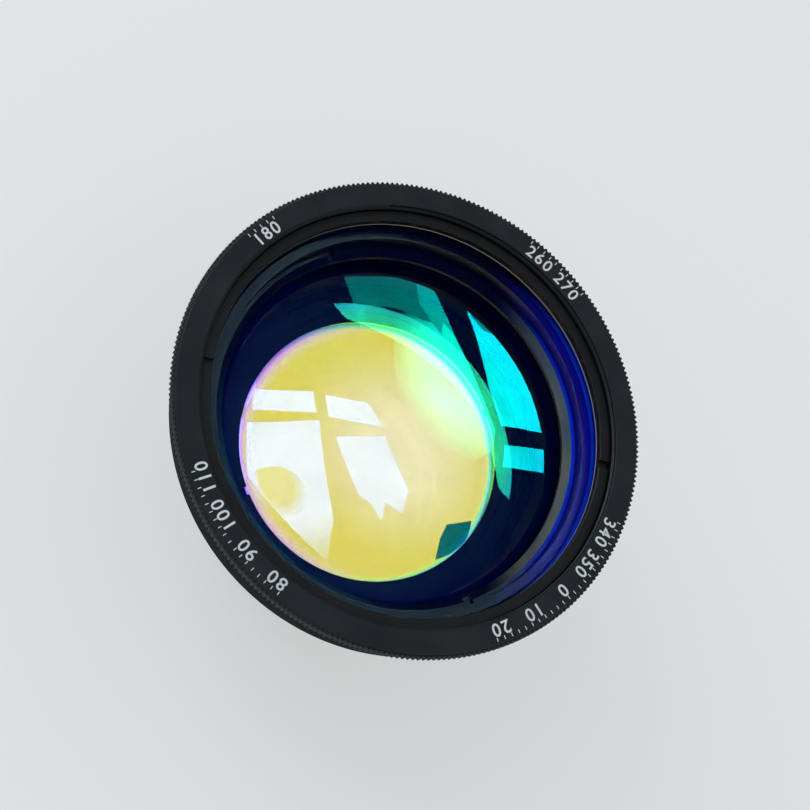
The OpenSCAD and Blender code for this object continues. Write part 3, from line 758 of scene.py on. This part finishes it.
def tickTree():
    # short radial bars at even steps over one arc
    tree, given = newTree("dialTicks", {"Count": 10, "First": 0.0, "Step": 0.035, "Radius": 0.0435,
                                        "Size": (0.0007, 0.00016, 0.00002), "Height": 0.05})
    bar = addNode(tree, "GeometryNodeMeshCube", {}, {"Size": given["Size"]})
    reach = addNode(tree, "ShaderNodeCombineXYZ", {}, {0: given["Radius"], 2: given["Height"]})
    moved = addNode(tree, "GeometryNodeTransform", {}, {"Geometry": bar, "Translation": reach})
    line = addNode(tree, "GeometryNodePoints", {}, {"Count": given["Count"]})
    number = addNode(tree, "GeometryNodeInputIndex")
    angle = addNode(tree, "ShaderNodeMath", {"operation": "MULTIPLY_ADD"},
        {0: number, 1: given["Step"], 2: given["First"]})
    turn = addNode(tree, "ShaderNodeCombineXYZ", {}, {2: angle})
    row = addNode(tree, "GeometryNodeInstanceOnPoints", {},
        {"Points": line, "Instance": moved, "Rotation": turn})
    return endTree(tree, row, given["Finish"])


ticks = tickTree()
tickLength = dialMarks["tickTo"] - dialMarks["tickFrom"]
for i, (start, end) in enumerate(dialArcs):
    first = math.ceil(start / dialMarks["tickStep"]) * dialMarks["tickStep"]
    arc = nodesPiece(f"dialTicks{i}", ticks, {
        "Count": int((end - first) // dialMarks["tickStep"]) + 1,
        "First": math.radians(first),
        "Step": math.radians(dialMarks["tickStep"]),
        "Radius": (dialMarks["tickFrom"] + dialMarks["tickTo"]) / 2 * mm,
        "Size": (tickLength * mm, dialMarks["tickWidth"] * mm, dialMarks["inkDepth"] * mm),
        "Height": inkMiddle * mm,
        "Finish": inkFinish,
    })
    standsFor(arc, ["housing"])
print("dial marked")


def sag(curve, radius):
    return curve - math.sqrt(curve * curve - radius * radius)


def surfaceArc(depthAtPole, curve, polishRadius, bulge, steps=20):
    # points of a polished face from the axis outwards; bulge 1 is domed to the front, -1 is hollow
    radii = [polishRadius * i / steps for i in range(steps + 1)]
    return [(radius, depthAtPole + bulge * sag(curve, radius)) for radius in radii]


cellShape = {
    "spigot": 29.0,
    "spigotEdge": 0.3,
    "grubGroove": 0.5,  # depth of the groove that the grub screws bite in
    "grooveMouth": 0.7,  # half its width at the mouth and on its floor
    "grooveFloor": 0.2,
    "sealGroove": 28.01,
    "sealGrooveWidth": 1.2,
    "collar": 31.5,
    "collarBevel": (0.3, 0.6),
    "nose": 23.5,
    "noseLength": 4,
    "noseEdge": 0.6,
    "noseFillet": (0.05, 0.1),
    "recess": 19.95,
    "recessBevel": 0.15,
    "recessCone": 0.3,
    "lensBore": 19.1,
    "lensGap": 0.1,
    "ringGap": 0.05,
}
entranceRadius, entranceDome, entranceBack = ringSize("entrance_lens")
entranceClear = entranceRadius - lensSeat
entranceSeat = entranceDome + sag(entranceCurve["front"], entranceClear)
sealAt, sealEnd = ringSize("cell_seal")[1:]
stopBack = ringSize("glare_stop")[2]


def cellRuns(shape):
    # the spigot with its two grooves, then collar, taper and nose, then back through the lens bores
    spigot, grooved = shape["spigot"], shape["spigot"] - shape["grubGroove"]
    sealGroove, collar, nose = shape["sealGroove"], shape["collar"], shape["nose"]
    recess, recessBevel, lensBore = shape["recess"], shape["recessBevel"], shape["lensBore"]
    floor, groove = shape["grooveFloor"], shape["grooveMouth"]
    sealFrom = (sealAt + sealEnd - shape["sealGrooveWidth"]) / 2
    sealTo = sealFrom + shape["sealGrooveWidth"]
    noseAt = lensLength - shape["noseLength"]
    collarIn, collarDown = shape["collarBevel"]
    noseOut, noseUp = shape["noseFillet"]
    thirdBore, ringBore = thirdRadius + shape["lensGap"], thirdRingRadius + shape["ringGap"]
    return [
        (ringFinish, [
            (spigot - shape["spigotEdge"], cellAt), (spigot, cellAt + shape["spigotEdge"]),
            (spigot, grubDepth - groove), (grooved, grubDepth - floor), (grooved, grubDepth + floor),
            (spigot, grubDepth + groove), (spigot, sealFrom), (sealGroove, sealFrom),
            (sealGroove, sealTo), (spigot, sealTo), (spigot, jointDepth)]),
        (barrelFinish, [
            (collar - collarIn, jointDepth), (collar, jointDepth + collarDown),
            (nose + noseOut, noseAt - noseUp), (nose, noseAt),
            (nose, lensLength - shape["noseEdge"]), (nose - shape["noseEdge"], lensLength)]),
        (innerFinish, [
            (recess + recessBevel, lensLength), (recess, lensLength - recessBevel),
            (recess, entranceBack + shape["recessCone"]), (lensBore, entranceBack),
            (lensBore, entranceSeat), (entranceClear, entranceSeat), (thirdClear, stopBack),
            (thirdBore, stopBack), (thirdBore, thirdAt), (ringBore, thirdAt), (ringBore, cellAt)]),
    ]


standsFor(turnedPiece("rearCell", cellRuns(cellShape)), ["rear_cell"])
print("rear cell turned")

windowEdge = 0.2
# the window's chamfers and ground edge carry painted blue sheen on the lit side, fading to a painted shade
# on the other
window = turnedPiece("protectiveWindow", [
    (windowGlass, [(0, windowAt)]),
    (paintedBlueSheenFinish, [(windowRadius - windowEdge, windowAt), (windowRadius, windowAt + windowEdge),
                   (windowRadius, windowBack - windowEdge)]),
    (windowGlass, [(windowRadius - windowEdge, windowBack), (0, windowBack)])])
standsFor(window, ["protective_window"])


def lensPiece(name, node, shape, finish, edge=0.15):
    # a domed front stands forward of the ground seat, a hollow one is sunk behind it
    radius, start, back = ringSize(node)
    bulge = shape.get("bulge", 1)
    polish = radius - lensSeat
    height = sag(shape["front"], polish)
    seat = start + height if bulge > 0 else start
    front = surfaceArc(start if bulge > 0 else start + height, shape["front"], polish, bulge)
    if "rear" in shape:
        rear = surfaceArc(back - sag(shape["rear"], polish), shape["rear"], polish, 1)
    else:
        rear = [(0, back), (polish, back)]
    ground = [(radius - edge, seat), (radius, seat + edge), (radius, back - edge), (radius - edge, back)]
    runs = [(finish, front[:-1]), (edgeFinish, front[-1:] + ground), (plainGlass, rear[::-1])]
    return standsFor(turnedPiece(name, runs, steps=256), [node])


lensPiece("frontLens", "front_lens", frontCurve, frontGlass)
lensPiece("secondLens", "second_lens", secondCurve, secondGlass)
lensPiece("thirdLens", "third_lens", thirdCurve, goldGlass)
lensPiece("entranceLens", "entrance_lens", entranceCurve, rearGlass)
print("glass polished")

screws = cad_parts["cell_grub_screws"]
screws.data.materials.clear()
screws.data.materials.append(screwFinish)


def stageSheet(name, corners, material):
    mesh = bpy.data.meshes.new(name)
    mesh.from_pydata(corners, [], [tuple(range(len(corners)))])
    mesh.materials.append(material)
    sheet = newObject(name, mesh)
    return sheet


# The camera sees the table paler than the object does, so that its shadow stays light.
tableLook = {"reach": 3, "colour": "#c8cccc", "seenColour": "#a4a8aa", "glow": "#fbfbfa",
             "glowStrength": 0.5}
tableGap = 0.02  # keeps the table off the face that the lens stands on
tableMaterial, tableTree, tableShader = newMaterial("paleTable")
tableShader.inputs["Roughness"].default_value = 0.4
seenDirectly = addNode(tableTree, "ShaderNodeLightPath").outputs["Is Camera Ray"]
tableTone = addNode(tableTree, "ShaderNodeMix", {"data_type": "RGBA"},
    {0: seenDirectly, 6: linearColour(tableLook["colour"]), 7: linearColour(tableLook["seenColour"])})
tableTree.links.new(tableTone.outputs[2], tableShader.inputs["Base Color"])
tableGlow = addNode(tableTree, "ShaderNodeMath", {"operation": "MULTIPLY"},
    {0: seenDirectly, 1: tableLook["glowStrength"]})
tableTree.links.new(tableGlow.outputs[0], tableShader.inputs["Emission Strength"])
tableShader.inputs["Emission Color"].default_value = linearColour(tableLook["glow"])
reach = tableLook["reach"]
tableCorners = [(-reach, -reach), (reach, -reach), (reach, reach), (-reach, reach)]
stageSheet("floor", [(x, y, -tableGap * mm) for x, y in tableCorners], tableMaterial)

# Colour and strength of the room's light, by what it falls on: plain surfaces, gloss, the coated glass,
# the bore behind the window, the bore behind the front lens, and the gold coating of the third lens.
roomLight = {
    "soft": ("#e9eef2", 0.66),
    "metal": ("#dfe6f0", 0.27),
    "glass": ("#2448b0", 0.3),
    "behindWindow": ("#4a74d8", 2.0),
    "inner": ("#4a74d8", 0.45),
    "deep": ("#ffdfc4", 2.5),
}
world = bpy.data.worlds.new("softRoom")
bpy.context.scene.world = world
world.use_nodes = True
worldTree = world.node_tree
light = {}
for name, (colour, strength) in roomLight.items():
    light[name] = addNode(worldTree, "ShaderNodeBackground", {},
        {"Color": linearColour(colour), "Strength": strength})
rays = addNode(worldTree, "ShaderNodeLightPath").outputs
# a ray crosses two faces in each lens, so its transmission depth tells how deep it has been
crossed, scattered = rays["Transmission Depth"], rays["Diffuse Depth"]
dull = addNode(worldTree, "ShaderNodeMath", {"operation": "GREATER_THAN"}, {0: scattered, 1: 0.5})
mirrored = addNode(worldTree, "ShaderNodeMath", {"operation": "LESS_THAN"}, {0: scattered, 1: 0.5})
pastGlass = addNode(worldTree, "ShaderNodeMath", {"operation": "GREATER_THAN"}, {0: crossed, 1: 0.5})
pastLens = addNode(worldTree, "ShaderNodeMath", {"operation": "GREATER_THAN"}, {0: crossed, 1: 5.5})
pastThird = addNode(worldTree, "ShaderNodeMath", {"operation": "GREATER_THAN"}, {0: crossed, 1: 10.5})
deepRay = addNode(worldTree, "ShaderNodeMath", {"operation": "MULTIPLY"}, {0: mirrored, 1: pastThird})
outside = addNode(worldTree, "ShaderNodeMixShader", {},
    {0: rays["Is Glossy Ray"], 1: light["soft"], 2: light["metal"]})
inside = addNode(worldTree, "ShaderNodeMixShader", {},
    {0: pastLens, 1: light["behindWindow"], 2: light["inner"]})
behind = addNode(worldTree, "ShaderNodeMixShader", {}, {0: dull, 1: light["glass"], 2: inside})
shallow = addNode(worldTree, "ShaderNodeMixShader", {}, {0: pastGlass, 1: outside, 2: behind})
whole = addNode(worldTree, "ShaderNodeMixShader", {}, {0: deepRay, 1: shallow, 2: light["deep"]})
worldTree.links.new(whole.outputs[0], worldTree.nodes["World Output"].inputs["Surface"])

cameraPlace = {"place": (0.965, -174.140, 389.808), "turn": (18.4691, -20.3040, 47.0943), "lens": 93.6}
cameraData = bpy.data.cameras.new("camera")
cameraData.sensor_width = 36
cameraData.lens = cameraPlace["lens"]
cameraData.clip_start = 0.01
camera = newObject("camera", cameraData)
cameraTurn = Euler([math.radians(angle) for angle in cameraPlace["turn"]]).to_matrix()
camera.matrix_world = Matrix.Translation(Vector(cameraPlace["place"]) * mm) @ cameraTurn.to_4x4()
bpy.context.scene.camera = camera

# The room seen in the glass: bright window panes that only reflections show. Their places are counted
# from the direction in which a flat mirror in the lens would show the room.
level = Matrix.Diagonal((1, 1, -1))
mirrorRight, mirrorUp, mirrorBack = (level @ column for column in cameraTurn.col)


def roomPoint(across, up, away):
    across, up = math.tan(math.radians(across)), math.tan(math.radians(up))
    return (mirrorRight * across + mirrorUp * up - mirrorBack) * away


# Corners are in degrees across and up. A card shows only to rays that have crossed so many glass faces,
# in and out again: 4 for the front lens, 8 for the second, 12 for the third. A fade is the middle of the
# glow, how far it is full and how far out it is gone. The first cards hang nearest.
roomCards = [
    {"name": "trees", "crossed": 4, "strength": 1.5, "colour": "#c8fff0",
     "corners": [(-5.0, 23.3), (6.9, 23.5), (6.2, 19.3), (7.4, 16.2), (5.8, 16.4), (2.9, 17.8), (0.9, 18.2),
                 (-2.4, 18.1), (-4.5, 14.2)]},
    {"name": "branch", "crossed": 4, "strength": 2.5, "colour": "#c8fff0",
     "corners": [(14.7, 19.8), (18.2, 17.1), (19.4, 16.4), (19.0, 16.0), (16.2, 16.4), (14.7, 18.4)]},
    {"name": "leaves", "crossed": 4, "strength": 3.6, "colour": "#d8fff0",
     "corners": [(6.9, 23.5), (9.2, 23.6), (10.2, 17.5), (10.6, 14.9), (9.4, 16.6), (8.6, 14.4), (7.4, 16.2),
                 (6.2, 19.3)]},
    {"name": "framePane", "crossed": 4, "strength": 8.5, "colour": "#d8ffe8", "fade": ((13.5, 9), 7, 15.5),
     "corners": [(6.0, 23.4), (9.2, 23.6), (10.8, 14.5), (12.1, 10.5), (14.0, 4.6), (15.5, 0.0),
                 (14.5, -3.1), (10.4, -5.8), (4.8, -5.1), (2.6, -4.0), (0.8, -0.1), (-0.7, 5.6),
                 (0.0, 10.9), (1.9, 17.5), (5.6, 17.0)]},
    {"name": "sidePane", "crossed": 4, "strength": 10.0, "colour": "#ecfaff",
     "corners": [(13.9, 22.1), (16.7, 20.6), (19.8, 18.6), (21.8, 13.3), (24.2, 10.8), (25.6, 7.0),
                 (25.4, 2.2), (16.5, 1.4), (15.1, 6.9), (14.5, 15.7)]},
    {"name": "lowPane", "crossed": 4, "strength": 9.0, "colour": "#ecfaff",
     "corners": [(17.0, -1.5), (26.0, -0.3), (25.6, -4.1), (16.5, -5.0)]},
    {"name": "greenPane", "crossed": 8, "strength": 12.0, "colour": "#f8fff8",
     "corners": [(-5.0, 15.5), (-0.4, 14.9), (3.9, 13.3), (7.3, 11.4), (9.9, 9.1), (11.9, 6.5), (13.4, 3.0),
                 (14.3, -0.5), (14.7, -3.4), (14.6, -6.5), (13.2, -5.3), (12.5, -2.4), (11.3, 1.2),
                 (9.2, 4.6), (6.0, 7.7), (2.5, 10.2), (-1.1, 12.1), (-3.6, 13.2)]},
    {"name": "halfRound", "crossed": 12, "strength": 4.2, "colour": "#d8c4ff",
     "fade": ((12.5, 4.4), 2.5, 5.5),
     "corners": [(16.8, 3.6), (13.9, 2.2), (11.3, 1.7), (9.0, 2.4), (7.6, 3.9), (7.4, 7.5), (11.7, 9.9),
                 (16.4, 9.1)]},
    {"name": "deepPaneA", "crossed": 12, "strength": 13.4, "colour": "#8480ff",
     "corners": [(15.8, -8.8), (5.9, -9.3), (5.4, -6.4), (15.8, -5.8)]},
    {"name": "deepPaneB", "crossed": 12, "strength": 13.4, "colour": "#8480ff",
     "corners": [(4.1, -9.0), (-2.1, -8.4), (-4.1, -5.2), (3.7, -6.0)]},
    {"name": "deepPaneC", "crossed": 12, "strength": 13.2, "colour": "#8480ff", "fade": ((12, -1), 9, 19),
     "corners": [(16.8, -3.8), (5.0, -5.4), (4.2, 8.0), (6.6, 15.2), (14.1, 7.6), (17.4, 4.2)]},
    {"name": "deepPaneD", "crossed": 12, "strength": 13.2, "colour": "#8480ff", "fade": ((-1, -2), 7, 14),
     "corners": [(2.8, -3.4), (-4.2, -4.0), (-6.9, 3.4), (-5.6, 6.8), (-3.4, 5.2), (-2.6, 8.0), (-1.3, 5.4),
                 (0.3, 4.2)]},
    {"name": "deepShade", "crossed": 12, "strength": 1.5, "colour": "#0564ff",
     "corners": [(-12.0, 8.5), (-18.5, 8.0), (-30, 8), (-30, 30), (-12, 30), (-9.3, 15.6), (-10.8, 10.6)]},
    {"name": "creamWall", "crossed": 12, "strength": 6.5, "colour": "#b4a2ff", "fade": ((-6, -2), 2, 17),
     "corners": [(14, -20), (-24, -20), (-24, 18), (14, 18)]},
]


def roomCard(name, crossed, strength, colour, corners, away, fade=None):
    material, tree, shader = newMaterial(name)
    tree.nodes.remove(shader)
    depth = addNode(tree, "ShaderNodeLightPath").outputs["Transmission Depth"]
    shows = addNode(tree, "ShaderNodeMath", {"operation": "COMPARE"}, {0: depth, 1: crossed, 2: 1.5})
    place = addNode(tree, "ShaderNodeTexCoord").outputs["Object"]
    # the sky in the front panes is cloudier than the light deep in the barrel
    dimmest, brightest = (0.8, 1.15) if crossed < 10 else (0.95, 1.05)
    sky = addNode(tree, "ShaderNodeTexNoise", {}, {"Vector": place, "Scale": 3.2, "Detail": 4.0})
    uneven = addNode(tree, "ShaderNodeMapRange", {}, {"Value": sky, "From Min": 0.3, "From Max": 0.7,
        "To Min": strength * dimmest, "To Max": strength * brightest})
    glow = addNode(tree, "ShaderNodeEmission", {}, {"Color": linearColour(colour), "Strength": uneven})
    if fade:
        middle, full, gone = fade
        apart = addNode(tree, "ShaderNodeVectorMath", {"operation": "DISTANCE"},
            {0: place, 1: tuple(roomPoint(*middle, away))})
        soft = addNode(tree, "ShaderNodeMapRange", {"interpolation_type": "SMOOTHSTEP"},
            {"Value": apart.outputs["Value"], "From Min": math.tan(math.radians(full)) * away,
            "From Max": math.tan(math.radians(gone)) * away, "To Min": 1.0, "To Max": 0.0})
        shows = addNode(tree, "ShaderNodeMath", {"operation": "MULTIPLY"}, {0: shows, 1: soft})
    clear = addNode(tree, "ShaderNodeBsdfTransparent")
    both = addNode(tree, "ShaderNodeMixShader", {}, {0: shows, 1: clear, 2: glow})
    tree.links.new(both.outputs[0], tree.nodes["Material Output"].inputs["Surface"])
    card = stageSheet(name, [roomPoint(across, up, away) for across, up in corners], material)
    card.visible_camera = False
    card.visible_diffuse = False
    card.visible_shadow = False


for i, card in enumerate(roomCards):
    roomCard(away=3.0 + 0.05 * i, **card)
print("room hung with", len(roomCards), "cards")

# A soft lamp in metres and watts, which glass shows only by reflection.
keyLight = {"place": (-0.81, 0.03, 0.7), "aim": (0, 0, 0.03), "size": 0.6, "energy": 3.6,
            "colour": "#e6f0ff"}
keyData = bpy.data.lights.new("keyLamp", "AREA")
keyData.shape = "RECTANGLE"
keyData.size = keyLight["size"]
keyData.size_y = keyLight["size"]
keyData.energy = keyLight["energy"]
keyData.color = linearColour(keyLight["colour"])[:3]
keyLamp = newObject("keyLamp", keyData)
keyLamp.visible_transmission = False
keyLamp.location = keyLight["place"]
keyLamp.rotation_euler = (Vector(keyLight["aim"]) - keyLamp.location).to_track_quat("-Z", "Y").to_euler()

# light goes in through five lenses and out again, which takes many bounces
cycles = bpy.context.scene.cycles
cycles.max_bounces = 32
cycles.transmission_bounces = 32
cycles.glossy_bounces = 8
bpy.context.scene.view_settings.view_transform = "Standard"
print("lamp and camera placed")
